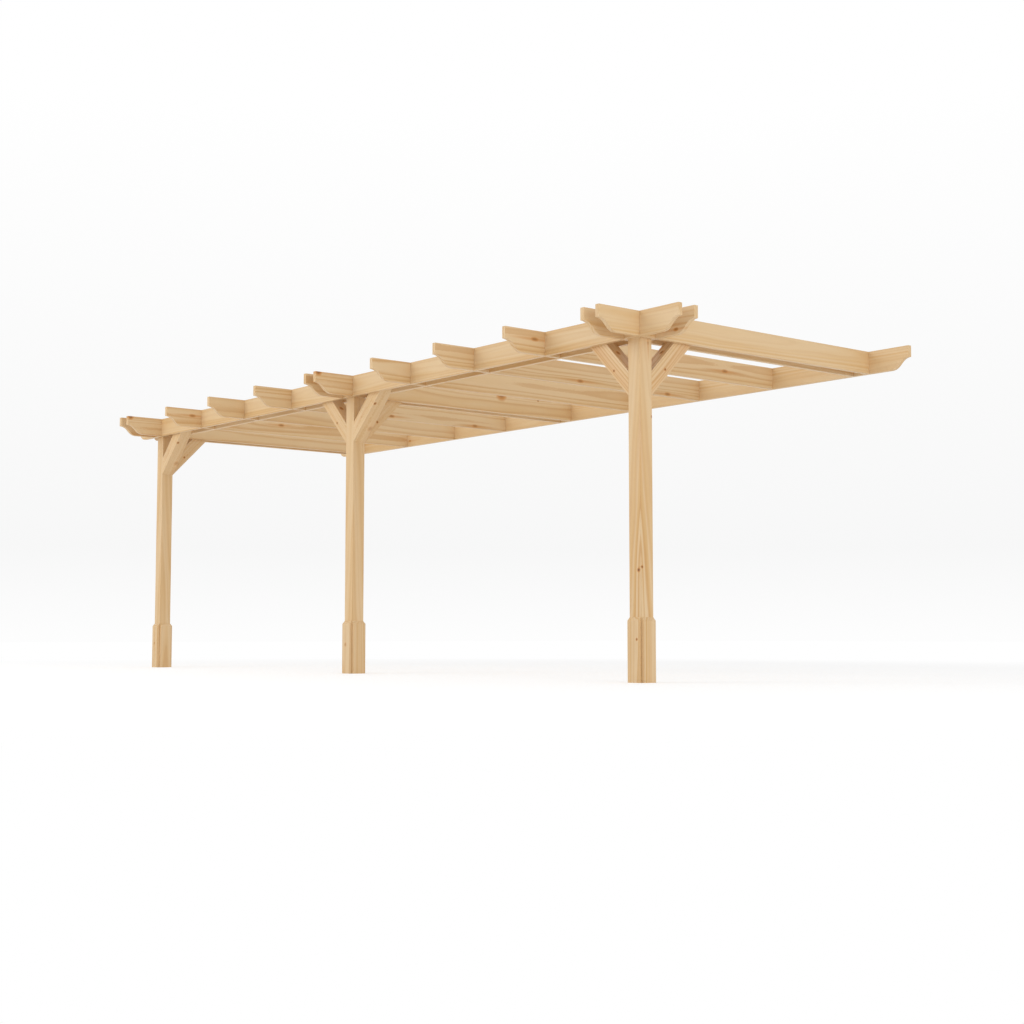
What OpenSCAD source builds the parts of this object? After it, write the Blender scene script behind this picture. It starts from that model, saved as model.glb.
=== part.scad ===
// Lean-to wooden pergola. Three posts carry a doubled front beam, and rafters run back from it to a
// rail that is fixed to a wall. Beams, rafters and rail are boards of one depth, halved into each
// other, so that their tops and undersides lie level.
// Millimetres. X runs along the wall, +Y points into the wall and +Z is up. The origin is the middle
// of the rail's rear face. Left and right are as seen by someone who stands in front, facing the wall.

/* [Overall] */
// Length of the front beams and of the wall rail
frame_length = 6600; // [5600:10:7600]
// Distance from the noses of the rafters to the wall
frame_depth = 2400; // [1800:10:3200]
// Height of the tops of the boards above the ground
frame_height = 2100; // [1900:10:2600]

/* [Boards] */
// Thickness of a beam, rafter or rail
board_thickness = 30; // [22:1:50]
// Depth of a beam, rafter or rail
board_depth = 145; // [120:1:190]
// Length of a board from its last crossing to its nose
overhang = 310; // [220:5:400]
// Single rafters between one pair of posts
rafters_per_bay = 3; // [1:1:4]
// Room on each side of a board in a halved joint
lap_clearance = 0.5; // [0.2:0.1:1]

/* [Ogee noses] */
// Height of the ogee, from the underside of the board to the foot of its upright nose
ogee_drop = 72; // [55:1:90]
// Radius of the hollow and of the round, which meet in a straight slope at 45 degrees
ogee_radius = 86; // [20:1:90]

/* [Posts and braces] */
// Side of the square posts
post_size = 95; // [75:1:140]
// Depth of a brace, square to its length
brace_depth = 100; // [60:1:110]
// Drop from the underside of the boards to the top of a brace on its post
brace_drop = 182; // [120:1:230]

/* [Plinths] */
// Height of the four boards round the foot of a post
plinth_height = 368; // [200:1:600]
// Thickness of a plinth board
plinth_thickness = 20; // [12:1:30]
// Width of post that shows on each side of a plinth board
plinth_reveal = 1.5; // [0.5:0.5:8]

/* [Hidden] */
$fn = 96;
timber = [0.86, 0.72, 0.53];
// Overlap of a cutter past the face that it cuts
cut = 1;

// Levels above and below the middle of the boards
board_top = board_depth / 2;
board_bottom = -board_depth / 2;
ground = board_top - frame_height;

// Rows of boards and posts, from the front to the wall
outer_beam_y = -frame_depth + overhang + board_thickness / 2;
post_y = outer_beam_y + (board_thickness + post_size) / 2;
inner_beam_y = post_y + (post_size + board_thickness) / 2;
rail_y = -board_thickness / 2;

// Posts from left to right
post_sides = ["left", "middle", "right"];
post_pitch = frame_length / 2 - overhang - board_thickness - post_size / 2;
post_x = [-post_pitch, 0, post_pitch];

// A pair of rafters holds each post, and the single ones leave equal gaps between the pairs
bay_gap = (post_pitch - post_size - (rafters_per_bay + 2) * board_thickness) / (rafters_per_bay + 1);
pair_offset = (post_size + board_thickness) / 2;
rafter_step = bay_gap + board_thickness;
rafters = concat(
    [for (i = [0 : 2]) [str(post_sides[i], "_post_rafter_left"), post_x[i] - pair_offset]],
    [for (i = [0 : 2]) [str(post_sides[i], "_post_rafter_right"), post_x[i] + pair_offset]],
    [for (j = [1 : rafters_per_bay])
        [str("left_bay_rafter_", j), post_x[0] + pair_offset + j * rafter_step]],
    [for (j = [1 : rafters_per_bay])
        [str("right_bay_rafter_", j), post_x[1] + pair_offset + j * rafter_step]]
);

// Faces of a post, in steps of a quarter turn about it
post_faces = ["front", "right", "rear", "left"];

// Faces that a brace rises from, for each post
brace_faces = [["right", "rear"], ["left", "right", "rear"], ["left", "rear"]];

// Ogee: run of the whole curve, centres of the hollow and of the round, and the way from a centre to
// the slope, which cuts a little into both arcs, as the underside cuts into the round
arc_bite = 0.05;
ogee_run = 2 * ogee_radius * sin(45) + ogee_drop - 2 * ogee_radius * (1 - cos(45));
hollow_centre = [0, ogee_drop - ogee_radius];
round_centre = [ogee_run, ogee_radius - arc_bite];
to_slope = (ogee_radius - arc_bite) * [sin(45), cos(45)];

function post_node(i) = str(post_sides[i], "_post");
function plinth_node(i, face) = str(post_node(i), "_plinth_", face);
function brace_node(i, face) = str(post_node(i), "_", face, "_brace");
function quarter_turns(face) = search([face], post_faces)[0];

// What the ogee takes off the lower corner of a board that ends at x = 0 and runs along +X: a hollow
// below the nose, a slope, and a round that runs out on the underside
module ogee_waste() {
    translate([0, 0, board_bottom]) rotate([90, 0, 0])
        linear_extrude(board_thickness + 2 * cut, center = true)
            difference() {
                union() {
                    polygon([
                        [-cut, -ogee_radius],
                        [ogee_run, -ogee_radius],
                        round_centre,
                        round_centre - to_slope,
                        hollow_centre + to_slope,
                        hollow_centre,
                        [-cut, hollow_centre[1]]
                    ]);
                    translate(hollow_centre) circle(ogee_radius);
                }
                translate(round_centre) circle(ogee_radius);
            }
}

// A plain board along +X from x = 0, with its thickness and depth centred
module blank(length) {
    translate([0, -board_thickness / 2, board_bottom]) cube([length, board_thickness, board_depth]);
}

// The slot for a board that crosses at x, over the height from low to high
module lap_slot(x, low, high) {
    width = board_thickness + 2 * lap_clearance;
    translate([x - width / 2, -width / 2, low]) cube([width, width, high - low]);
}

// A board of the frame's whole length with an ogee at both ends, open at the top for the rafters
module long_board(y) {
    color(timber) translate([-frame_length / 2, y, 0]) difference() {
        blank(frame_length);
        ogee_waste();
        translate([frame_length, 0, 0]) mirror([1, 0, 0]) ogee_waste();
        for (r = rafters) lap_slot(frame_length / 2 + r[1], 0, board_top + cut);
    }
}

module front_beam(y) {
    long_board(y);
}

module wall_rail() {
    long_board(rail_y);
}

// A rafter from its nose at the front to the wall, open below over both beams and the rail
module rafter(x) {
    color(timber) translate([x, -frame_depth, 0]) rotate([0, 0, 90]) difference() {
        blank(frame_depth);
        ogee_waste();
        for (y = [outer_beam_y, inner_beam_y, rail_y])
            lap_slot(frame_depth + y, board_bottom - cut, 0);
    }
}

module post(i) {
    color(timber) translate([post_x[i] - post_size / 2, post_y - post_size / 2, ground])
        cube([post_size, post_size, frame_height]);
}

// A plinth board against one face of a post, its top bevelled at 45 degrees to shed water
module plinth_board(i, face) {
    color(timber) translate([post_x[i], post_y, ground]) rotate([0, 0, 90 * quarter_turns(face)])
        translate([0, -post_size / 2, 0]) rotate([90, 0, -90])
            linear_extrude(post_size - 2 * plinth_reveal, center = true)
                polygon([
                    [0, 0],
                    [plinth_thickness, 0],
                    [plinth_thickness, plinth_height - plinth_thickness],
                    [0, plinth_height]
                ]);
}

// A brace at 45 degrees from a post's face up between a pair of boards, level with their tops
module brace(i, face) {
    post_cut = brace_depth / cos(45);
    color(timber) translate([post_x[i], post_y, 0]) rotate([0, 0, 90 * quarter_turns(face)])
        translate([0, -post_size / 2, 0]) rotate([90, 0, -90])
            linear_extrude(post_size, center = true)
                polygon([
                    [0, board_bottom - brace_drop - post_cut],
                    [board_depth + brace_drop + post_cut, board_top],
                    [board_depth + brace_drop, board_top],
                    [0, board_bottom - brace_drop]
                ]);
}

for (i = [0 : 2]) post(i);
for (i = [0 : 2], face = post_faces)
    plinth_board(i, face);
front_beam(outer_beam_y);  // outer_front_beam
front_beam(inner_beam_y);  // inner_front_beam
wall_rail();
for (r = rafters) rafter(r[1]);
for (i = [0 : 2], face = brace_faces[i])
    brace(i, face);
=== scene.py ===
"""Dresses the frame of a wall-mounted pergola in planed softwood.

Every timber is a section with eased arrises, carried along the timber past its ogee noses, halvings
and bevels. One solid grain runs through all of them, and each timber is cut from its own place in the
log. Metres, in the frame's axes: X along the wall, +Y into the wall, +Z up.
"""

import math

import bmesh
import bpy
import numpy as np
from bpy.props import FloatProperty, FloatVectorProperty, PointerProperty
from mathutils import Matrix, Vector


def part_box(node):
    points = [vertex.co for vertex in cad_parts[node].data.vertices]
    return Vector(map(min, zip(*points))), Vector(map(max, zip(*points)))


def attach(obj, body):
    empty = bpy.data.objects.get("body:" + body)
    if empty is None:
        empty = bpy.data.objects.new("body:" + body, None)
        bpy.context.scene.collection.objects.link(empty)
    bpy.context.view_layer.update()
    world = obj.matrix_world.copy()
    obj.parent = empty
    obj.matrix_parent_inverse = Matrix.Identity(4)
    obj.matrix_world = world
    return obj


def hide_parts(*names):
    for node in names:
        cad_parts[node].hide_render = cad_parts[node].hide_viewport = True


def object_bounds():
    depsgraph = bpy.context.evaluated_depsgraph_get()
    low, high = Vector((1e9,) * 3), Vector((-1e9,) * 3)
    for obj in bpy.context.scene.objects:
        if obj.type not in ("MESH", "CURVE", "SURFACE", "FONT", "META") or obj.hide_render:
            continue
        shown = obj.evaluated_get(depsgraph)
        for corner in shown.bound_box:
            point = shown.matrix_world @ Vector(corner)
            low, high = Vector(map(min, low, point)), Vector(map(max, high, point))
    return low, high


bl_info = {
    "name": "Wall-mounted pergola",
    "version": (1, 0, 0),
    "blender": (4, 5, 0),
    "location": "3D View > Sidebar > Pergola",
    "description": "Dresses the frame of a wall-mounted pergola in planed softwood",
    "category": "Object",
}

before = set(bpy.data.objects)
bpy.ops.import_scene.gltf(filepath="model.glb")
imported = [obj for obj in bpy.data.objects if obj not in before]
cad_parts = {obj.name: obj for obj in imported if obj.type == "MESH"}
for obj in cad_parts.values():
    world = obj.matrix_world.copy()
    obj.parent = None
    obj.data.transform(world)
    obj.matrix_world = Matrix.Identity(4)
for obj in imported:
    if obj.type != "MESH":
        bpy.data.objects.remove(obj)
CAD_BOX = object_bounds()

# The timbers by kind
POSTS = ("left_post", "middle_post", "right_post")
FRONT_BEAMS = ("outer_front_beam", "inner_front_beam")
RAIL = "wall_rail"
RAFTERS = sorted(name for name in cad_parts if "rafter" in name)
BRACES = sorted(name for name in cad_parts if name.endswith("_brace"))

# The ways that the faces of a post look, each of which has a plinth board and may have a brace
POST_FACES = {"front": (0, -1, 0), "right": (1, 0, 0), "rear": (0, 1, 0), "left": (-1, 0, 0)}
UP = (0, 0, 1)

# Steps in a quarter of an eased arris and in each arc of an ogee, and the longest step of a curve
ARRIS_STEPS = 3
ARC_STEPS = 12
CURVE_STEP = 0.006

# The log: room along it for one timber, how near and how far from the pith a timber begins, how far at
# most its broad faces turn from the pith and how far it leans along the log, and the seed of the draws
LOG_ROOM = 9.0
PITH_NEAR = 0.07
PITH_FAR = 0.14
PITH_TURN = 0.6
LEAN_MOST = 0.006
GRAIN_SEED = 14

# Timbers with a chosen cut: up and across from the pith at their start, and lean of both along them
CHOSEN_CUTS = {
    "right_post": (0.148, 0.148, -0.035, -0.035),
    "middle_post": (0.12, 0.10, -0.03, -0.03),
    "left_post": (0.11, 0.10, -0.025, -0.03),
    "right_post_left_brace": (0.42, 0.02, 0.0, 0.0),
    "right_post_rear_brace": (0.36, -0.02, 0.0, 0.0),
    "middle_post_left_brace": (0.29, -0.01, 0.0, 0.0),
    "middle_post_right_brace": (0.32, 0.01, 0.0, 0.0),
    "middle_post_rear_brace": (0.28, 0.02, 0.0, 0.0),
    "left_post_right_brace": (0.30, -0.02, 0.0, 0.0),
    "left_post_rear_brace": (0.33, 0.01, 0.0, 0.0),
}

# How strongly the growth rings show at the start and at the end of each kind of timber, how far they
# ripple, how wide they are against the common width, and how dark their lines are in pale wood. The
# first kind that is part of a timber's name counts.
FIGURES = {
    "right_post_left_brace": (0.7, 0.7, 0.004, 1.5, 0.5),
    "right_post_rear_brace": (0.7, 0.7, 0.004, 1.5, 0.5),
    "right_post_rafter": (0.55, 0.55, 0.002, 1.0, 0.05),
    "plinth": (0.75, 0.75, 0.0, 1.0, 0.1),
    "rafter": (0.6, 0.6, 0.003, 1.7, 0.5),
    "brace": (0.6, 0.6, 0.024, 1.0, 0.1),
    "beam": (0.8, 0.8, 0.002, 1.0, 0.1),
    "rail": (0.55, 0.55, 0.002, 1.0, 0.1),
    "right_post": (1.1, 0.4, 0.0, 1.9, 0.1),
    "post": (0.75, 0.35, 0.0, 1.9, 0.1),
}

# Attributes that keep this on each point of a timber
FIGURE_NAMES = ("figure", "ripple", "growth", "line")

# Knots that stand out: end of the names of the timbers that have one; its place along them from their
# start, up and across from their middle; its radius; the axis that it goes into the timber by; and how
# dark its heart is and how strong a warm band runs through it. With no dark heart, only the band shows.
# One that goes along the timber sits in an arris and shows on both faces of it. A brace is measured
# from its lowest corner at the post.
KNOTS = (
    ("middle_post_rafter_right", 1.664, 0.073, 0.015, 0.044, "across", 0.55, 0.0),
    ("middle_post_rafter_right", 2.029, 0.056, 0.015, 0.008, "across", 0.8, 0.2),
    ("middle_post_rafter_right", 0.024, 0.066, 0.015, 0.019, "across", 0.6, 0.3),
    ("left_post_rafter_right", 0.024, 0.066, 0.015, 0.019, "across", 0.6, 0.3),
    ("right_bay_rafter_2", 1.221, -0.048, 0.015, 0.011, "across", 0.45, 1.0),
    ("right_bay_rafter_2", 2.050, -0.056, 0.015, 0.011, "across", 0.45, 1.0),
    ("left_bay_rafter_3", 1.221, -0.048, 0.015, 0.011, "across", 0.45, 1.0),
    ("left_bay_rafter_3", 2.050, -0.056, 0.015, 0.011, "across", 0.45, 1.0),
    ("right_bay_rafter_3", 1.894, 0.0, 0.015, 0.011, "across", 0.45, 1.0),
    ("right_bay_rafter_3", 0.229, 0.018, 0.015, 0.011, "across", 0.45, 1.0),
    ("left_bay_rafter_1", 0.229, 0.018, 0.015, 0.011, "across", 0.45, 1.0),
    ("left_bay_rafter_1", 1.063, 0.010, 0.015, 0.011, "across", 0.45, 1.0),
    ("inner_front_beam", 6.456, -0.045, 0.015, 0.009, "across", 0.5, 0.8),
    ("right_post", 0.633, 0.048, 0.029, 0.011, "up", 1.0, 0.15),
    ("right_post", 0.650, 0.038, 0.048, 0.008, "across", 1.0, 0.15),
    ("right_post", 1.930, -0.019, 0.048, 0.006, "across", 0.3, 0.9),
    ("right_post", 1.400, 0.048, 0.048, 0.018, "along", 0.0, 0.4),
    ("right_post", 1.508, -0.047, 0.047, 0.008, "along", 0.8, 0.2),
    ("right_post_plinth_front", 0.243, 0.009, 0.030, 0.007, "up", 0.8, 0.2),
    ("middle_post_plinth_front", 0.203, 0.009, -0.006, 0.011, "up", 0.3, 0.3),
    ("left_post_plinth_front", 0.203, 0.009, -0.006, 0.009, "up", 0.35, 0.3),
    ("right_post_left_brace", 0.200, 0.240, -0.047, 0.034, "across", 0.0, 0.45),
    ("right_post_rear_brace", 0.200, 0.240, 0.047, 0.034, "across", 0.0, 0.45),
    ("_left_brace", 0.119, 0.158, -0.047, 0.008, "across", 0.9, 0.2),
    ("_left_brace", 0.131, 0.266, -0.005, 0.014, "up", 0.5, 0.2),
    ("_rear_brace", 0.108, 0.160, 0.047, 0.008, "across", 0.9, 0.2),
    ("_rear_brace", 0.131, 0.265, 0.0, 0.013, "up", 0.7, 0.2),
    ("_right_brace", 0.248, 0.248, 0.035, 0.010, "up", 0.8, 0.1),
    ("_right_brace", 0.092, 0.092, -0.031, 0.017, "up", 0.25, 0.3),
    ("_right_brace", 0.097, 0.169, 0.047, 0.007, "across", 0.2, 0.6),
    ("right_post", 1.236, -0.048, 0.016, 0.010, "up", 0.9, 0.2),
    ("right_post", 0.948, 0.008, -0.048, 0.009, "across", 0.7, 0.3),
    ("middle_post", 0.812, -0.048, -0.019, 0.009, "up", 0.8, 0.2),
    ("middle_post", 1.490, -0.014, -0.048, 0.010, "across", 0.6, 0.3),
    ("left_post", 1.118, -0.048, 0.011, 0.009, "up", 0.8, 0.2),
    ("left_post", 0.690, 0.017, -0.048, 0.011, "across", 0.7, 0.2),
    ("_rafter_left", 0.905, 0.022, -0.015, 0.010, "across", 0.5, 0.9),
    ("_rafter_left", 1.766, -0.037, -0.015, 0.008, "across", 0.6, 0.7),
    ("inner_front_beam", 1.818, 0.012, -0.015, 0.010, "across", 0.5, 0.9),
    ("inner_front_beam", 4.427, -0.030, -0.015, 0.009, "across", 0.6, 0.8),
    ("wall_rail", 1.204, -0.024, -0.015, 0.009, "across", 0.6, 0.8),
    ("wall_rail", 3.592, 0.031, -0.015, 0.010, "across", 0.5, 0.9),
    ("wall_rail", 5.326, -0.006, -0.015, 0.008, "across", 0.7, 0.7),
    ("_plinth_rear", 0.152, 0.010, 0.013, 0.008, "up", 0.7, 0.3),
    ("_plinth_left", 0.094, 0.010, -0.021, 0.007, "up", 0.6, 0.3),
)

# How much of the distance from a knot counts along, up and across, by the axis that it goes in by. The
# depth counts little, so that a knot thins out slowly behind its face.
KNOT_DEPTH = 0.18
KNOT_WAYS = {
    "up": (1.0, KNOT_DEPTH, 1.0),
    "across": (1.0, 1.0, KNOT_DEPTH),
    "along": (1.0, 1.0, 1.0),
}

# How far from a knot, in radii, its rim, heart and band begin and are full, and where the growth rings
# begin to swerve and swerve most
KNOT_RIM = (1.5, 0.8)
KNOT_HEART = (0.9, 0.3)
KNOT_BAND = (1.4, 0.2)
KNOT_SWERVE = (3.0, 0.0)

# How much less the distance along the fibres counts for a knot with a full band, how much of it counts
# for the band itself, and how dark a heart has to be for a full rim
KNOT_DRAWN = 0.65
BAND_LENGTHWISE = 0.06
FULL_RIM_HEART = 0.5

# Noises in the log, with their scales along, up and across, and their detail
SLOW_WANDER = ((0.7, 4.0, 4.0), 2.0)
QUICK_WANDER = ((2.5, 45.0, 45.0), 2.0)
WAVES = ((80.0, 110.0, 110.0), 2.0)
DRIFT = ((1.3, 10.0, 10.0), 2.0)
TONE = ((0.16, 0.4, 0.4), 0.0)
FIBRES = ((9.0, 700.0, 700.0), 1.0)
NOISE_MIDDLE = 0.5

# How far the slow and the quick wander move the growth rings
SLOW_REACH = 0.045
QUICK_REACH = 0.005

# When in a year its dark line begins and is full, and when it ends and is still full
LINE_RISE = (0.45, 0.9)
LINE_FALL = (1.0, 0.92)

# Warm streaks: noise from year to year and its detail, its part and that of the drift, the values of
# their sum where streaks begin and are full, the middle of the streaks' swing, and their level there
YEARLY_SCALE = 0.8
YEARLY_DETAIL = 2.0
YEARLY_PART = 0.7
DRIFT_PART = 0.3
STREAK_RISE = (0.4, 0.7)
STREAK_MIDDLE = 0.4
STREAK_LEVEL = 0.43

# How far the colours go at most to that of the streaks, knot rims, knot bands and knot hearts, and how
# much darker the lines are in the streaks
STREAK_MOST = 0.85
RIM_MOST = 0.9
BAND_MOST = 0.55
HEART_MOST = 0.9
LINE_IN_STREAK = 0.6

# Brightness, roughness and relief of the planed face: the base, and what fibres, tone, lines and knot
# hearts add or take away
BRIGHTNESS = 0.9
FIBRE_BRIGHTNESS = 0.1
TONE_BRIGHTNESS = 0.1
ROUGHNESS = 0.4
FIBRE_ROUGHNESS = 0.1
LINE_ROUGHNESS = 0.06
FIBRE_RELIEF = 0.5
LINE_RELIEF = 0.5
HEART_HOLLOW = 0.4
RELIEF_HEIGHT = 0.0004
RELIEF_STRENGTH = 0.25

# Background: height of the view above the horizon and brightness there
BACKDROP = ((0.0, 0.985), (0.054, 0.934), (0.147, 0.956), (0.215, 0.973), (0.32, 1.0))

# Half the width of the floor, the share and strength of a white glow that the viewer sees in it, and
# how far from the middle of the part it begins and ends to fade to plain white
FLOOR_REACH = 60.0
FLOOR_SHARE = 0.15
FLOOR_GLOW = 2.0
FLOOR_FADE = (4.0, 8.0)

# Camera: width of the sensor in millimetres, and how far it sees
SENSOR_WIDTH = 36
SIGHT_END = 200

# Broad lamps: their side, and where each stands and what it faces
LAMP_SIZE = 6.0
KEY_PLACE = (-3.0, -10.5, 4.0)
KEY_TARGET = (0.0, -1.2, -0.6)
FILL_PLACE = (14.0, -4.0, 1.5)
FILL_TARGET = (1.0, -1.5, -0.8)

# Where a Mix node has its colours: two inputs and an output
MIX_FIRST = 6
MIX_SECOND = 7
MIX_RESULT = 2

# Points nearer than this are one
MERGE_DISTANCE = 0.000005


def screen_colour(red, green, blue):
    """The linear colour of an sRGB colour written from 0 to 255, by the sRGB curve: straight near black,
    and a power above that."""
    share = np.array([red, green, blue]) / 255
    return tuple(np.where(share <= 0.04045, share / 12.92, ((share + 0.055) / 1.055) ** 2.4))


class PergolaSizes(bpy.types.PropertyGroup):
    """Sizes of the timbers that their boxes in the frame don't give."""

    ogee_drop: FloatProperty(
        name="Ogee drop",
        description="Height of the ogee, from the underside of a board to the foot of its nose",
        default=0.072,
        unit="LENGTH",
    )
    ogee_radius: FloatProperty(
        name="Ogee radius",
        description="Radius of the hollow and of the round of the ogee",
        default=0.086,
        unit="LENGTH",
    )
    lap_clearance: FloatProperty(
        name="Lap clearance",
        description="Room on each side of a board in a halved joint",
        default=0.0005,
        unit="LENGTH",
    )
    brace_depth: FloatProperty(
        name="Brace depth",
        description="Depth of a brace, square to its length",
        default=0.100,
        unit="LENGTH",
    )
    board_ease: FloatProperty(
        name="Board ease",
        description="Radius of the arrises of the boards",
        default=0.0015,
        unit="LENGTH",
    )
    post_ease: FloatProperty(
        name="Post ease",
        description="Radius of the arrises of the posts and braces",
        default=0.002,
        unit="LENGTH",
    )


class PergolaTimber(bpy.types.PropertyGroup):
    """Colours and figure of the softwood."""

    sapwood: FloatVectorProperty(
        name="Sapwood",
        description="Pale wood between the streaks",
        default=screen_colour(227, 198, 156),
        subtype="COLOR",
    )
    streak: FloatVectorProperty(
        name="Streak",
        description="Warm wood in the streaks",
        default=screen_colour(211, 166, 101),
        subtype="COLOR",
    )
    latewood: FloatVectorProperty(
        name="Latewood",
        description="Thin dark line at the end of each year's growth",
        default=screen_colour(194, 140, 78),
        subtype="COLOR",
    )
    knot_rim: FloatVectorProperty(
        name="Knot rim",
        description="Resinous wood round a knot",
        default=screen_colour(200, 134, 60),
        subtype="COLOR",
    )
    knot_heart: FloatVectorProperty(
        name="Knot heart",
        description="Wood of the knot itself",
        default=screen_colour(96, 54, 22),
        subtype="COLOR",
    )
    ring_width: FloatProperty(
        name="Ring width",
        description="Growth of one year",
        default=0.012,
        unit="LENGTH",
    )


class PergolaStage(bpy.types.PropertyGroup):
    """Viewpoint, floor and light."""

    camera_place: FloatVectorProperty(
        name="Camera place",
        description="Where the viewer stands",
        default=(9.39488, -8.27741, -1.76766),
        subtype="TRANSLATION",
        unit="LENGTH",
    )
    camera_turn: FloatProperty(
        name="Camera turn",
        description="Turn of the view from straight at the wall, towards the left",
        default=math.radians(50.632),
        subtype="ANGLE",
        unit="ROTATION",
    )
    camera_tilt: FloatProperty(
        name="Camera tilt",
        description="Upward tilt of the view",
        default=math.radians(4.48),
        subtype="ANGLE",
        unit="ROTATION",
    )
    lens: FloatProperty(
        name="Lens",
        description="Focal length on a sensor 36 millimetres wide",
        default=55.81,
        unit="CAMERA",
    )
    floor: FloatVectorProperty(
        name="Floor",
        description="Colour of the floor",
        default=(0.95, 0.95, 0.95),
        subtype="COLOR",
    )
    sky: FloatProperty(
        name="Sky",
        description="Strength of the even light from all round",
        default=0.745,
    )
    key_power: FloatProperty(
        name="Key light",
        description="Power of the broad lamp in front, on the left",
        default=250.0,
        subtype="POWER",
    )
    fill_power: FloatProperty(
        name="Fill light",
        description="Power of the broad lamp on the right",
        default=246.0,
        subtype="POWER",
    )


class Pergola(bpy.types.PropertyGroup):
    """All that a user would change."""

    sizes: PointerProperty(type=PergolaSizes)
    timber: PointerProperty(type=PergolaTimber)
    stage: PointerProperty(type=PergolaStage)


def log_places():
    """Where the zero of each timber's own axes lies in the log, measured from the pith, and how the
    timber leans from the pith: a stretch of the log for each timber in turn, and a seeded draw of the
    direction and distance of the pith, unless its cut is chosen. The broad faces of a plinth board
    are its upper and lower ones, and those of the other boards are its sides."""
    names = sorted(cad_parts)
    draw = np.random.default_rng(GRAIN_SEED)
    broad = np.array([0.0 if "plinth" in name else math.pi / 2 for name in names])
    turned = draw.uniform(-PITH_TURN, PITH_TURN, len(names))
    turn = broad + turned + math.pi * draw.integers(0, 2, len(names))
    away = draw.uniform(PITH_NEAR, PITH_FAR, len(names))
    leans = draw.uniform(-LEAN_MOST, LEAN_MOST, (len(names), 2))
    cuts = np.column_stack([away * np.cos(turn), away * np.sin(turn), leans])
    places = {}
    for number, (name, cut) in enumerate(zip(names, cuts)):
        up, across, lean_up, lean_across = CHOSEN_CUTS.get(name, cut)
        places[name] = np.array([number * LOG_ROOM, up, across]), np.array([lean_up, lean_across])
    return places


LOG_PLACES = log_places()


def fibre_slope(node):
    """Slope of a timber's fibres to its own length, which runs level on a brace."""
    return math.pi / 4 if node in BRACES else 0.0


def figure_at(node, along):
    """How strongly the growth rings show along a timber, an even change from its start to its end, how
    far they ripple, how wide they are and how dark their lines are, by the first kind that the timber
    is named for."""
    start, end, *even = next(figure for kind, figure in FIGURES.items() if kind in node)
    shown = start + (end - start) * along / along.max()
    return (shown, *(np.full(len(along), value) for value in even))


def in_log(node, own):
    """A place in a timber's own axes (along, up, across) as a place in the log: a turn by the slope of
    its fibres, a lean that grows along it, and a shift."""
    along, up, across = np.moveaxis(np.asarray(own, dtype=float), -1, 0)
    slope = fibre_slope(node)
    shift, lean = LOG_PLACES[node]
    down_fibre = along * math.cos(slope) + up * math.sin(slope)
    over_fibre = up * math.cos(slope) - along * math.sin(slope)
    leant = [down_fibre, over_fibre + lean[0] * down_fibre, across + lean[1] * down_fibre]
    return np.stack(leant, axis=-1) + shift


def course(along, lower, upper, inset=0.0):
    """Stations of a timber, one a row: place along it, heights of its lower and upper edge, and how far
    its whole outline is drawn in there."""
    return np.stack(np.broadcast_arrays(np.asarray(along, dtype=float), lower, upper, inset), axis=1)


def quarter_turn():
    """Angles of a quarter circle."""
    return np.linspace(0, math.pi / 2, ARRIS_STEPS + 1)


def nose(sizes, half):
    """Stations of an ogee nose, from its end. A quarter circle eases the end. Then the lower edge goes
    down along a hollow arc from the foot of the nose, a slope at 45 degrees, and a round arc that runs
    out on the underside."""
    ease = sizes.board_ease
    radius = sizes.ogee_radius
    drop = sizes.ogee_drop
    eased_end = ease * (1 - np.cos(quarter_turn()))
    end_inset = ease * (1 - np.sin(quarter_turn()))
    hollow_turn = np.linspace(math.asin(ease / radius), math.pi / 4, ARC_STEPS + 1)[1:]
    hollow = np.concatenate([eased_end, radius * np.sin(hollow_turn)])
    round_turn = np.linspace(math.pi / 4, 0, ARC_STEPS + 1)
    run = 2 * math.sqrt(2) * radius + drop - 2 * radius
    along = np.concatenate([hollow, run - radius * np.sin(round_turn)])
    in_hollow = drop - radius + np.sqrt(radius**2 - hollow**2)
    on_round = radius - radius * np.cos(round_turn)
    inset = np.zeros(len(along))
    inset[: len(end_inset)] = end_inset
    return course(along, np.concatenate([in_hollow, on_round]) - half, half, inset)


def turned_round(stations, length):
    """The same stations from the other end of a timber."""
    return stations[::-1] * [-1, 1, 1, 1] + [length, 0, 0, 0]


def notches(starts, ends, edge, floor):
    """Square notches one after another: the places of their corners along the timber, and the level of
    the notched edge there, from the edge to the floor and back."""
    places = np.stack([starts, starts, ends, ends], axis=1).ravel()
    return places, np.tile([edge, floor, floor, edge], len(starts))


def crossings(names, axis, origin, clearance):
    """Where other boards cross a timber that starts at the origin of an axis: the starts and ends of
    their slots, in order, with the clearance on both sides."""
    sides = np.sort([[corner[axis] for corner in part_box(name)] for name in names], axis=0) - origin
    return sides[:, 0] - clearance, sides[:, 1] + clearance


def carried(stations, thickness, ease, seam):
    """The section carried along the stations. It climbs one side and comes down the other: a quarter
    circle of the ease off the lower edge, a point at the height of the seam, or as near to it as the
    section reaches, and a quarter circle on to the upper edge. Where the section is low, the ease is
    half its height. Returns points as (station, point, axis)."""
    along, lower, upper, inset = stations.T[..., None]
    low = lower + inset
    high = upper - inset
    ease = np.minimum(ease, (high - low) / 2)
    lift = ease * (1 - np.cos(quarter_turn()))
    drawn = ease * (1 - np.sin(quarter_turn()))
    middle = np.clip(seam, low + ease, high - ease)
    height = np.concatenate([low + lift, middle, high - lift[:, ::-1]], axis=1)
    side = np.concatenate([drawn, np.zeros_like(along), drawn[:, ::-1]], axis=1)
    climb = np.stack(np.broadcast_arrays(along, height, thickness / 2 - inset - side), axis=-1)
    return np.concatenate([climb, climb[:, ::-1] * [1, 1, -1]], axis=1)


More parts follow.
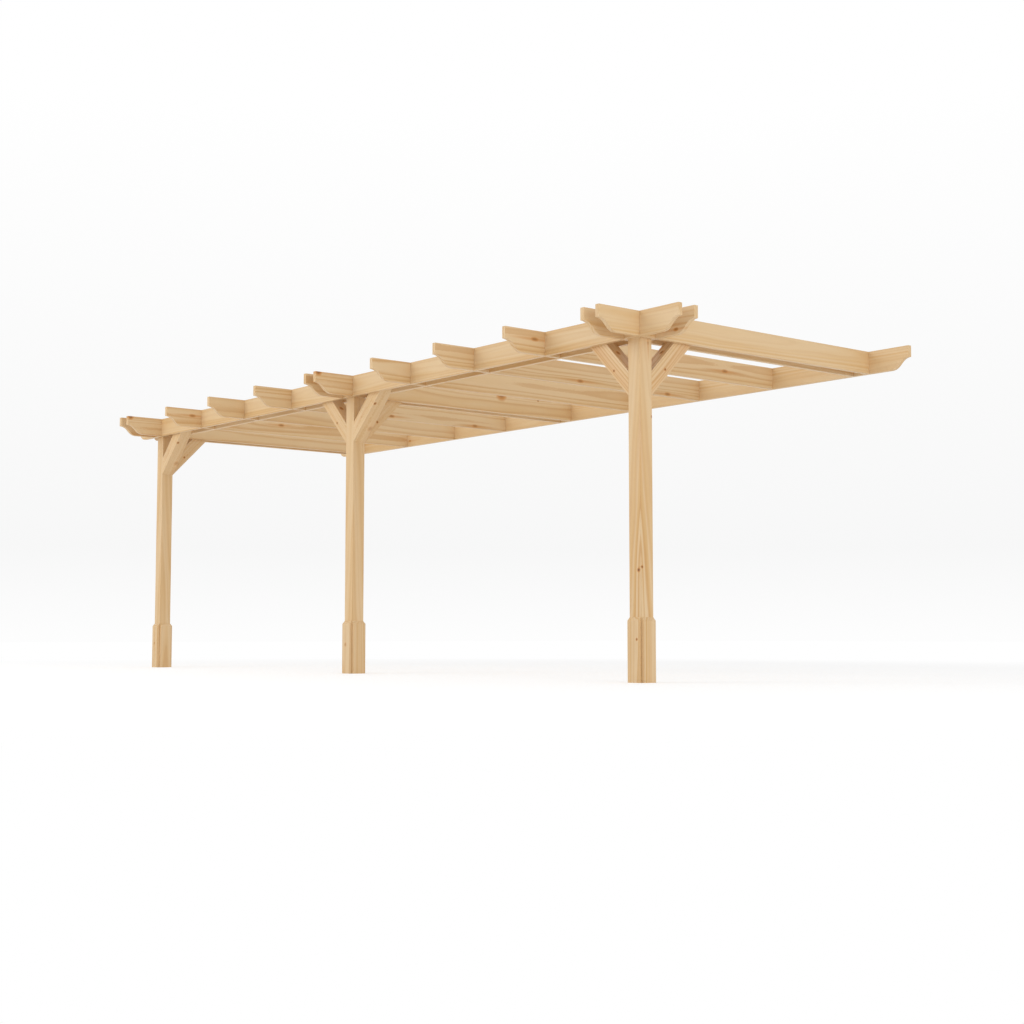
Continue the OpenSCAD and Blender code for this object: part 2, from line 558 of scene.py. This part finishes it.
def skin(count, size):
    """Quads between each section and the next, and quads from side to side that close both ends."""
    index = np.arange(count * size).reshape(count, size)
    after = np.roll(index, -1, axis=1)
    walls = np.stack([index[:-1], index[1:], after[1:], after[:-1]], axis=-1).reshape(-1, 4)
    climb = index[[0, -1], : size // 2]
    other = index[[0, -1], : size // 2 - 1 : -1]
    start = np.stack([other[0, :-1], climb[0, :-1], climb[0, 1:], other[0, 1:]], axis=1)
    end = np.stack([climb[1, :-1], other[1, :-1], other[1, 1:], climb[1, 1:]], axis=1)
    return np.concatenate([walls, start, end])


def soft_shaded(stations, face_count):
    """Which faces are shaded as curves: arrises, eased ends, and the underside where it bends."""
    step = np.diff(stations[:, 0])
    eased_end = (stations[:-1, 3] > 0) | (stations[1:, 3] > 0)
    bends = (step > 0) & (step < CURVE_STEP)
    arris = [True] * ARRIS_STEPS
    side = np.array([*arris, False, False, *arris, False])
    round_section = np.concatenate([side, side])
    underside = np.arange(len(round_section)) == len(round_section) - 1
    walls = round_section | eased_end[:, None] | (bends[:, None] & underside)
    return np.concatenate([walls.ravel(), np.zeros(face_count - walls.size, dtype=bool)])


def merged(mesh):
    """Joins points that coincide, which takes away quads that have shrunk to a line."""
    shape = bmesh.new()
    shape.from_mesh(mesh)
    bmesh.ops.remove_doubles(shape, verts=shape.verts, dist=MERGE_DISTANCE)
    shape.to_mesh(mesh)
    shape.free()


def dress(node, stations, thickness, ease, origin, along, up=UP, seam=0.0):
    """Stands one timber in for its node. Its stations run along it from the origin, and its thickness
    lies evenly on both sides of them. The grain attribute keeps each point's place in the log, and
    the other attributes keep how its growth rings show."""
    sections = carried(stations, thickness, ease, seam)
    faces = skin(*sections.shape[:2])
    mesh = bpy.data.meshes.new(node + "_timber")
    mesh.from_pydata(sections.reshape(-1, 3), [], faces)
    mesh.polygons.foreach_set("use_smooth", soft_shaded(stations, len(faces)))
    merged(mesh)
    own = np.empty(len(mesh.vertices) * 3)
    mesh.vertices.foreach_get("co", own)
    own = own.reshape(-1, 3)
    axes = np.array([along, up, np.cross(along, up)], dtype=float)
    mesh.vertices.foreach_set("co", (np.asarray(origin, dtype=float) + own @ axes).ravel())
    grain = mesh.attributes.new("grain", "FLOAT_VECTOR", "POINT")
    grain.data.foreach_set("vector", in_log(node, own).ravel())
    for name, values in zip(FIGURE_NAMES, figure_at(node, own[:, 0])):
        mesh.attributes.new(name, "FLOAT", "POINT").data.foreach_set("value", values)
    mesh.materials.append(planed_softwood(node))
    mesh.update()
    timber = bpy.data.objects.new(node + "_timber", mesh)
    bpy.context.scene.collection.objects.link(timber)
    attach(timber, "root")
    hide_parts(node)


def bounds_of(node):
    """Lowest and highest corner of a node, as arrays."""
    low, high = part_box(node)
    return np.array(low), np.array(high)


def dress_post(node, sizes):
    """A square post, sawn off at the ground and eased at its top by a quarter circle."""
    low, high = bounds_of(node)
    width, depth, height = high - low
    ease = sizes.board_ease
    top = height - ease * (1 - np.cos(quarter_turn()[::-1]))
    inset = ease * (1 - np.sin(quarter_turn()[::-1]))
    stations = course([0, *top], -depth / 2, depth / 2, [0, *inset])
    origin = [(low[0] + high[0]) / 2, (low[1] + high[1]) / 2, low[2]]
    dress(node, stations, width, sizes.post_ease, origin, UP, (0, -1, 0))


def dress_plinth(node, outward, sizes):
    """A plinth board on end, whose face slopes back at 45 degrees at the top to a thin edge."""
    low, high = bounds_of(node)
    outward = np.array(outward, dtype=float)
    spread = high - low
    thickness = abs(spread @ outward)
    half = thickness / 2
    stations = course([0, spread[2] - thickness, spread[2]], -half, [half, half, -half])
    origin = (low + high) / 2
    origin[2] = low[2]
    width = abs(spread @ np.cross(UP, outward))
    dress(node, stations, width, sizes.board_ease, origin, UP, outward)


def dress_long_board(node, sizes):
    """A beam or the rail: an ogee at both ends and a notch from above for each rafter."""
    low, high = bounds_of(node)
    length, thickness, depth = high - low
    half = depth / 2
    starts, ends = crossings(RAFTERS, 0, low[0], sizes.lap_clearance)
    places, levels = notches(starts, ends, half, 0)
    near = nose(sizes, half)
    stations = np.concatenate([near, course(places, -half, levels), turned_round(near, length)])
    origin = [low[0], (low[1] + high[1]) / 2, (low[2] + high[2]) / 2]
    dress(node, stations, thickness, sizes.board_ease, origin, (1, 0, 0), seam=-sizes.board_ease)


def dress_rafter(node, sizes):
    """A rafter: an ogee at its nose, a notch from below for each beam, and a half end on the rail."""
    low, high = bounds_of(node)
    thickness, length, depth = high - low
    half = depth / 2
    starts, ends = crossings(FRONT_BEAMS, 1, low[1], sizes.lap_clearance)
    places, levels = notches(starts, ends, -half, 0)
    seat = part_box(RAIL)[0][1] - low[1] - sizes.lap_clearance
    half_end = course([seat, seat, length], [-half, 0, 0], half)
    stations = np.concatenate([nose(sizes, half), course(places, levels, half), half_end])
    origin = [(low[0] + high[0]) / 2, low[1], (low[2] + high[2]) / 2]
    dress(node, stations, thickness, sizes.board_ease, origin, (0, 1, 0), seam=sizes.board_ease)


def dress_brace(node, sizes):
    """A brace at 45 degrees, in stations level from the face of the post that it is named for: its lower
    edge climbs as far as it goes, and its upper edge climbs beside it as far as the top of the boards."""
    low, high = bounds_of(node)
    face = node.split("_")[2]
    way = np.array(POST_FACES[face], dtype=float)
    spread = high - low
    reach = abs(spread @ way)
    cut = sizes.brace_depth * math.sqrt(2)
    stations = course([0, reach - cut, reach], [0, reach - cut, reach], [cut, reach, reach])
    origin = (low + high) / 2 - way * reach / 2
    origin[2] = low[2]
    width = abs(spread @ np.cross(way, UP))
    dress(node, stations, width, sizes.post_ease, origin, way)


class Signal:
    """An output of a material's nodes. Arithmetic on it adds Math nodes."""

    def __init__(self, recipe, socket):
        self.recipe = recipe
        self.socket = socket

    def __add__(self, other):
        return self.recipe.math("ADD", self, other)

    def __radd__(self, other):
        return self.recipe.math("ADD", other, self)

    def __sub__(self, other):
        return self.recipe.math("SUBTRACT", self, other)

    def __rsub__(self, other):
        return self.recipe.math("SUBTRACT", other, self)

    def __mul__(self, other):
        return self.recipe.math("MULTIPLY", self, other)

    def __rmul__(self, other):
        return self.recipe.math("MULTIPLY", other, self)

    def __truediv__(self, other):
        return self.recipe.math("DIVIDE", self, other)

    def __rtruediv__(self, other):
        return self.recipe.math("DIVIDE", other, self)


class Recipe:
    """The nodes of one material or of the world."""

    def __init__(self, owner):
        owner.use_nodes = True
        self.tree = owner.node_tree
        self.tree.nodes.clear()

    def node(self, kind, settings=None, sockets=None, output=0):
        """Adds a node: its settings first, a ramp's stops among them, then the values or links of its
        sockets."""
        made = self.tree.nodes.new(kind)
        for name, value in (settings or {}).items():
            if name == "stops":
                self.set_stops(made.color_ramp.elements, value)
            else:
                setattr(made, name, value)
        for key, value in (sockets or {}).items():
            if isinstance(value, Signal):
                self.tree.links.new(value.socket, made.inputs[key])
            else:
                made.inputs[key].default_value = value
        return Signal(self, made.outputs[output]) if made.outputs else made

    def set_stops(self, elements, stops):
        """Grey stops of a ramp: position and brightness."""
        while len(elements) < len(stops):
            elements.new(1.0)
        for element, (position, grey) in zip(elements, stops):
            element.position = position
            element.color = (grey, grey, grey, 1.0)

    def math(self, operation, *values):
        """A Math node on values."""
        return self.node("ShaderNodeMath", {"operation": operation}, dict(enumerate(values)))

    def vector(self, operation, first, second):
        """A Vector Math node on two vectors."""
        sockets = {0: first, 1: second}
        return self.node("ShaderNodeVectorMath", {"operation": operation}, sockets)

    def length(self, vector):
        """The length of a vector."""
        return self.node("ShaderNodeVectorMath", {"operation": "LENGTH"}, {0: vector}, "Value")

    def scaled(self, colour, factor):
        """A colour or vector times a value."""
        sockets = {"Vector": colour, "Scale": factor}
        return self.node("ShaderNodeVectorMath", {"operation": "SCALE"}, sockets)

    def noise(self, place, scale, detail):
        """Noise from 0 to 1, with its own scale on each axis of the place."""
        sockets = {"Vector": self.vector("MULTIPLY", place, scale), "Scale": 1.0, "Detail": detail}
        return self.node("ShaderNodeTexNoise", None, sockets)

    def ramp(self, value, start, end):
        """A smooth step from 0 at the start to 1 at the end."""
        sockets = {"Value": value, "From Min": start, "From Max": end}
        return self.node("ShaderNodeMapRange", {"interpolation_type": "SMOOTHSTEP"}, sockets)

    def blend(self, factor, first, second):
        """A colour between two colours."""
        sockets = {0: factor, MIX_FIRST: first, MIX_SECOND: second}
        return self.node("ShaderNodeMix", {"data_type": "RGBA"}, sockets, MIX_RESULT)

    def attribute(self, name, output="Fac"):
        """What an attribute of the mesh says."""
        return self.node("ShaderNodeAttribute", {"attribute_name": name}, output=output)


def opaque(colour):
    """A colour property with its alpha."""
    return (*colour, 1.0)


def knot_marks(wood, grain, node, knots):
    """Heart and rim of a timber's knots, the warm band that runs through each, and how far the growth
    rings swerve round it: smooth steps of the distance from the knot, in radii. The knot is drawn out
    along the fibres, the more the stronger its band is, and the band itself most. A knot goes on through
    the timber behind its face, and thins out there."""
    heart = 0.0
    rim = 0.0
    band = 0.0
    swerve = 0.0
    for along, up, across, radius, way, darkness, warmth in knots:
        centre = in_log(node, (along, up, across))
        apart = wood.vector("SUBTRACT", grain, tuple(centre))
        apart = wood.vector("MULTIPLY", apart, tuple(share / radius for share in KNOT_WAYS[way]))
        oval = wood.length(wood.vector("MULTIPLY", apart, (1.0 - KNOT_DRAWN * warmth, 1.0, 1.0)))
        streak = wood.length(wood.vector("MULTIPLY", apart, (BAND_LENGTHWISE, 1.0, 1.0)))
        ringed = min(1.0, darkness / FULL_RIM_HEART)
        rim = wood.math("MAXIMUM", rim, wood.ramp(oval, *KNOT_RIM) * ringed)
        heart = wood.math("MAXIMUM", heart, wood.ramp(oval, *KNOT_HEART) * darkness)
        band = wood.math("MAXIMUM", band, wood.ramp(streak, *KNOT_BAND) * warmth)
        swerve = swerve + wood.ramp(streak, *KNOT_SWERVE) * (radius * ringed)
    return heart, rim, band, swerve


def years_of_growth(wood, grain, ripple, ring_width, swerve):
    """The age of the log when the wood grew, in years: the distance from the pith, with a slow wander, a
    quick one, the ripple and the swerve round knots, over the width of a ring."""
    from_pith = wood.length(wood.vector("MULTIPLY", grain, (0.0, 1.0, 1.0)))
    slow = wood.noise(grain, *SLOW_WANDER) - NOISE_MIDDLE
    quick = wood.noise(grain, *QUICK_WANDER) - NOISE_MIDDLE
    waves = wood.noise(grain, *WAVES) - NOISE_MIDDLE
    radius = from_pith + slow * SLOW_REACH + quick * QUICK_REACH + waves * ripple + swerve
    return radius / ring_width


def late_lines(wood, years):
    """The dark line of each year: a smooth step up late in the year, times a sharp one down at its end."""
    season = wood.math("FRACT", years)
    return wood.ramp(season, *LINE_RISE) * wood.ramp(season, *LINE_FALL)


def streak_warmth(wood, grain, years, figure):
    """How warm the wood is: a smooth step of the sum of a noise over the years and a drift through the
    log, whose swing about its middle grows with the figure."""
    sockets = {"W": years, "Scale": YEARLY_SCALE, "Detail": YEARLY_DETAIL}
    yearly = wood.node("ShaderNodeTexNoise", {"noise_dimensions": "1D"}, sockets)
    drift = wood.noise(grain, *DRIFT)
    swing = wood.ramp(yearly * YEARLY_PART + drift * DRIFT_PART, *STREAK_RISE) - STREAK_MIDDLE
    return swing * figure + STREAK_LEVEL


def planed_softwood(node):
    """Softwood with growth rings round a wandering pith, for a timber with knots of its own or for all
    that have none. The streaks, the lines and the knots are laid over the sapwood in turn, and fibres
    and a slow tone change how bright the whole is."""
    knots = [knot[1:] for knot in KNOTS if node.endswith(knot[0])]
    name = f"planed_softwood_{node}" if knots else "planed_softwood"
    if name in bpy.data.materials:
        return bpy.data.materials[name]
    looks = bpy.context.scene.pergola.timber
    material = bpy.data.materials.new(name)
    wood = Recipe(material)
    grain = wood.attribute("grain", "Vector")
    figure, ripple, growth, line = (wood.attribute(shown) for shown in FIGURE_NAMES)
    heart, rim, band, swerve = knot_marks(wood, grain, node, knots)
    years = years_of_growth(wood, grain, ripple, growth * looks.ring_width, swerve)
    late = late_lines(wood, years) * figure
    warmth = streak_warmth(wood, grain, years, figure)
    tone = wood.noise(grain, *TONE)
    fibre = wood.noise(grain, *FIBRES)
    colour = wood.blend(warmth * STREAK_MOST, opaque(looks.sapwood), opaque(looks.streak))
    colour = wood.blend(late * (line + warmth * LINE_IN_STREAK), colour, opaque(looks.latewood))
    if knots:
        resin = wood.math("MAXIMUM", rim * RIM_MOST, band * BAND_MOST)
        colour = wood.blend(resin, colour, opaque(looks.knot_rim))
        colour = wood.blend(heart * HEART_MOST, colour, opaque(looks.knot_heart))
    colour = wood.scaled(colour, BRIGHTNESS + fibre * FIBRE_BRIGHTNESS + tone * TONE_BRIGHTNESS)
    roughness = ROUGHNESS + fibre * FIBRE_ROUGHNESS + late * LINE_ROUGHNESS
    height = late * LINE_RELIEF + fibre * FIBRE_RELIEF - heart * HEART_HOLLOW
    relief = {"Strength": RELIEF_STRENGTH, "Distance": RELIEF_HEIGHT, "Height": height}
    bump = wood.node("ShaderNodeBump", None, relief)
    sockets = {"Base Color": colour, "Roughness": roughness, "Normal": bump}
    surface = wood.node("ShaderNodeBsdfPrincipled", None, sockets)
    wood.node("ShaderNodeOutputMaterial", None, {"Surface": surface})
    return material


class PERGOLA_OT_posts(bpy.types.Operator):
    """Dress the three posts"""

    bl_idname = "pergola.posts"
    bl_label = "Posts"

    def execute(self, context):
        for node in POSTS:
            dress_post(node, context.scene.pergola.sizes)
        return {"FINISHED"}


class PERGOLA_OT_plinths(bpy.types.Operator):
    """Dress the four plinth boards round the foot of each post"""

    bl_idname = "pergola.plinths"
    bl_label = "Plinths"

    def execute(self, context):
        for post in POSTS:
            for face, outward in POST_FACES.items():
                dress_plinth(f"{post}_plinth_{face}", outward, context.scene.pergola.sizes)
        return {"FINISHED"}


class PERGOLA_OT_beams(bpy.types.Operator):
    """Dress the two front beams and the wall rail"""

    bl_idname = "pergola.beams"
    bl_label = "Beams and rail"

    def execute(self, context):
        for node in (*FRONT_BEAMS, RAIL):
            dress_long_board(node, context.scene.pergola.sizes)
        return {"FINISHED"}


class PERGOLA_OT_rafters(bpy.types.Operator):
    """Dress the rafters"""

    bl_idname = "pergola.rafters"
    bl_label = "Rafters"

    def execute(self, context):
        for node in RAFTERS:
            dress_rafter(node, context.scene.pergola.sizes)
        return {"FINISHED"}


class PERGOLA_OT_braces(bpy.types.Operator):
    """Dress the braces between the posts and the boards"""

    bl_idname = "pergola.braces"
    bl_label = "Braces"

    def execute(self, context):
        for node in BRACES:
            dress_brace(node, context.scene.pergola.sizes)
        return {"FINISHED"}


def seen_ray(recipe):
    """1 for a ray from the camera, or one that a glossy or clear surface passes on, and 0 for the light
    that falls on matt surfaces."""
    straight = recipe.node("ShaderNodeLightPath", None, None, "Is Camera Ray")
    mirrored = recipe.node("ShaderNodeLightPath", None, None, "Is Glossy Ray")
    passed = recipe.node("ShaderNodeLightPath", None, None, "Is Transmission Ray")
    return recipe.math("MAXIMUM", recipe.math("MAXIMUM", straight, mirrored), passed)


def white_world(sky):
    """Even light from all round, and a plain near-white background to look at. Its brightness follows
    the height of the view above the horizon."""
    world = bpy.data.worlds.new("studio")
    bpy.context.scene.world = world
    air = Recipe(world)
    ray = air.node("ShaderNodeTexCoord", None, None, "Generated")
    height = air.node("ShaderNodeSeparateXYZ", None, {0: ray}, "Z")
    shade = air.node("ShaderNodeValToRGB", {"stops": BACKDROP}, {0: height})
    light = air.node("ShaderNodeBackground", None, {"Color": (1, 1, 1, 1), "Strength": sky})
    seen = air.node("ShaderNodeBackground", None, {"Color": shade, "Strength": 1.0})
    mixed = air.node("ShaderNodeMixShader", None, {0: seen_ray(air), 1: light, 2: seen})
    air.node("ShaderNodeOutputWorld", None, {"Surface": mixed})


def pale_floor(stage):
    """A wide flat matt floor at the foot of the posts. To the viewer it has a share of white glow, so
    that it is plain white but for a soft shadow, and it fades to plain white further out."""
    level = CAD_BOX[0][2]
    square = ((-1, -1), (1, -1), (1, 1), (-1, 1))
    corners = [(x * FLOOR_REACH, y * FLOOR_REACH, level) for x, y in square]
    mesh = bpy.data.meshes.new("floor")
    mesh.from_pydata(corners, [], [(0, 1, 2, 3)])
    material = bpy.data.materials.new("pale_floor")
    paint = Recipe(material)
    matt = paint.node("ShaderNodeBsdfDiffuse", None, {"Color": opaque(stage.floor)})
    glow = paint.node("ShaderNodeEmission", None, {"Color": (1, 1, 1, 1), "Strength": FLOOR_GLOW})
    white = paint.node("ShaderNodeEmission", None, {"Color": (1, 1, 1, 1), "Strength": 1.0})
    seen = seen_ray(paint)
    lit = paint.node("ShaderNodeMixShader", None, {0: seen * FLOOR_SHARE, 1: matt, 2: glow})
    place = paint.node("ShaderNodeNewGeometry", None, None, "Position")
    middle = (CAD_BOX[0][0] + CAD_BOX[1][0]) / 2, (CAD_BOX[0][1] + CAD_BOX[1][1]) / 2, level
    away = paint.length(paint.vector("SUBTRACT", place, middle))
    far = seen * paint.ramp(away, *FLOOR_FADE)
    mixed = paint.node("ShaderNodeMixShader", None, {0: far, 1: lit, 2: white})
    paint.node("ShaderNodeOutputMaterial", None, {"Surface": mixed})
    mesh.materials.append(material)
    floor = bpy.data.objects.new("floor", mesh)
    bpy.context.scene.collection.objects.link(floor)


def broad_lamp(name, power, place, target):
    """A square lamp that faces its target."""
    lamp = bpy.data.lights.new(name, "AREA")
    lamp.energy = power
    lamp.size = LAMP_SIZE
    holder = bpy.data.objects.new(name, lamp)
    bpy.context.scene.collection.objects.link(holder)
    way = Vector(target) - Vector(place)
    holder.location = place
    holder.rotation_euler = way.to_track_quat("-Z", "Y").to_euler()


def standing_viewer(stage):
    """The camera, level sideways, where the viewer stands."""
    eye = bpy.data.cameras.new("viewer")
    eye.lens = stage.lens
    eye.sensor_width = SENSOR_WIDTH
    eye.clip_end = SIGHT_END
    viewer = bpy.data.objects.new("viewer", eye)
    viewer.location = stage.camera_place
    viewer.rotation_euler = (math.pi / 2 + stage.camera_tilt, 0, stage.camera_turn)
    bpy.context.scene.collection.objects.link(viewer)
    bpy.context.scene.camera = viewer


class PERGOLA_OT_stage(bpy.types.Operator):
    """Set up the camera, the floor and the light"""

    bl_idname = "pergola.stage"
    bl_label = "Stage"

    def execute(self, context):
        stage = context.scene.pergola.stage
        context.scene.view_settings.view_transform = "Standard"
        standing_viewer(stage)
        white_world(stage.sky)
        pale_floor(stage)
        broad_lamp("key", stage.key_power, KEY_PLACE, KEY_TARGET)
        broad_lamp("fill", stage.fill_power, FILL_PLACE, FILL_TARGET)
        return {"FINISHED"}


class PERGOLA_PT_sidebar(bpy.types.Panel):
    """Lists the sizes, the colours and the steps"""

    bl_idname = "PERGOLA_PT_sidebar"
    bl_label = "Pergola"
    bl_space_type = "VIEW_3D"
    bl_region_type = "UI"
    bl_category = "Pergola"

    def draw(self, context):
        for group in ("sizes", "timber", "stage"):
            settings = getattr(context.scene.pergola, group)
            box = self.layout.box()
            box.label(text=group.capitalize())
            for name in settings.__annotations__:
                box.prop(settings, name)
        for step in OPERATORS:
            self.layout.operator(step.bl_idname)


OPERATORS = (
    PERGOLA_OT_posts,
    PERGOLA_OT_plinths,
    PERGOLA_OT_beams,
    PERGOLA_OT_rafters,
    PERGOLA_OT_braces,
    PERGOLA_OT_stage,
)
CLASSES = (PergolaSizes, PergolaTimber, PergolaStage, Pergola, *OPERATORS, PERGOLA_PT_sidebar)


def register():
    """Registers the classes and hangs the settings on the scene."""
    for kind in CLASSES:
        bpy.utils.register_class(kind)
    bpy.types.Scene.pergola = PointerProperty(type=Pergola)


def unregister():
    """Takes all of it away again."""
    del bpy.types.Scene.pergola
    for kind in reversed(CLASSES):
        bpy.utils.unregister_class(kind)


def main():
    """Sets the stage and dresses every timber."""
    register()
    bpy.ops.pergola.stage()
    bpy.ops.pergola.posts()
    bpy.ops.pergola.plinths()
    bpy.ops.pergola.beams()
    bpy.ops.pergola.rafters()
    bpy.ops.pergola.braces()


if __name__ == "__main__":
    main()
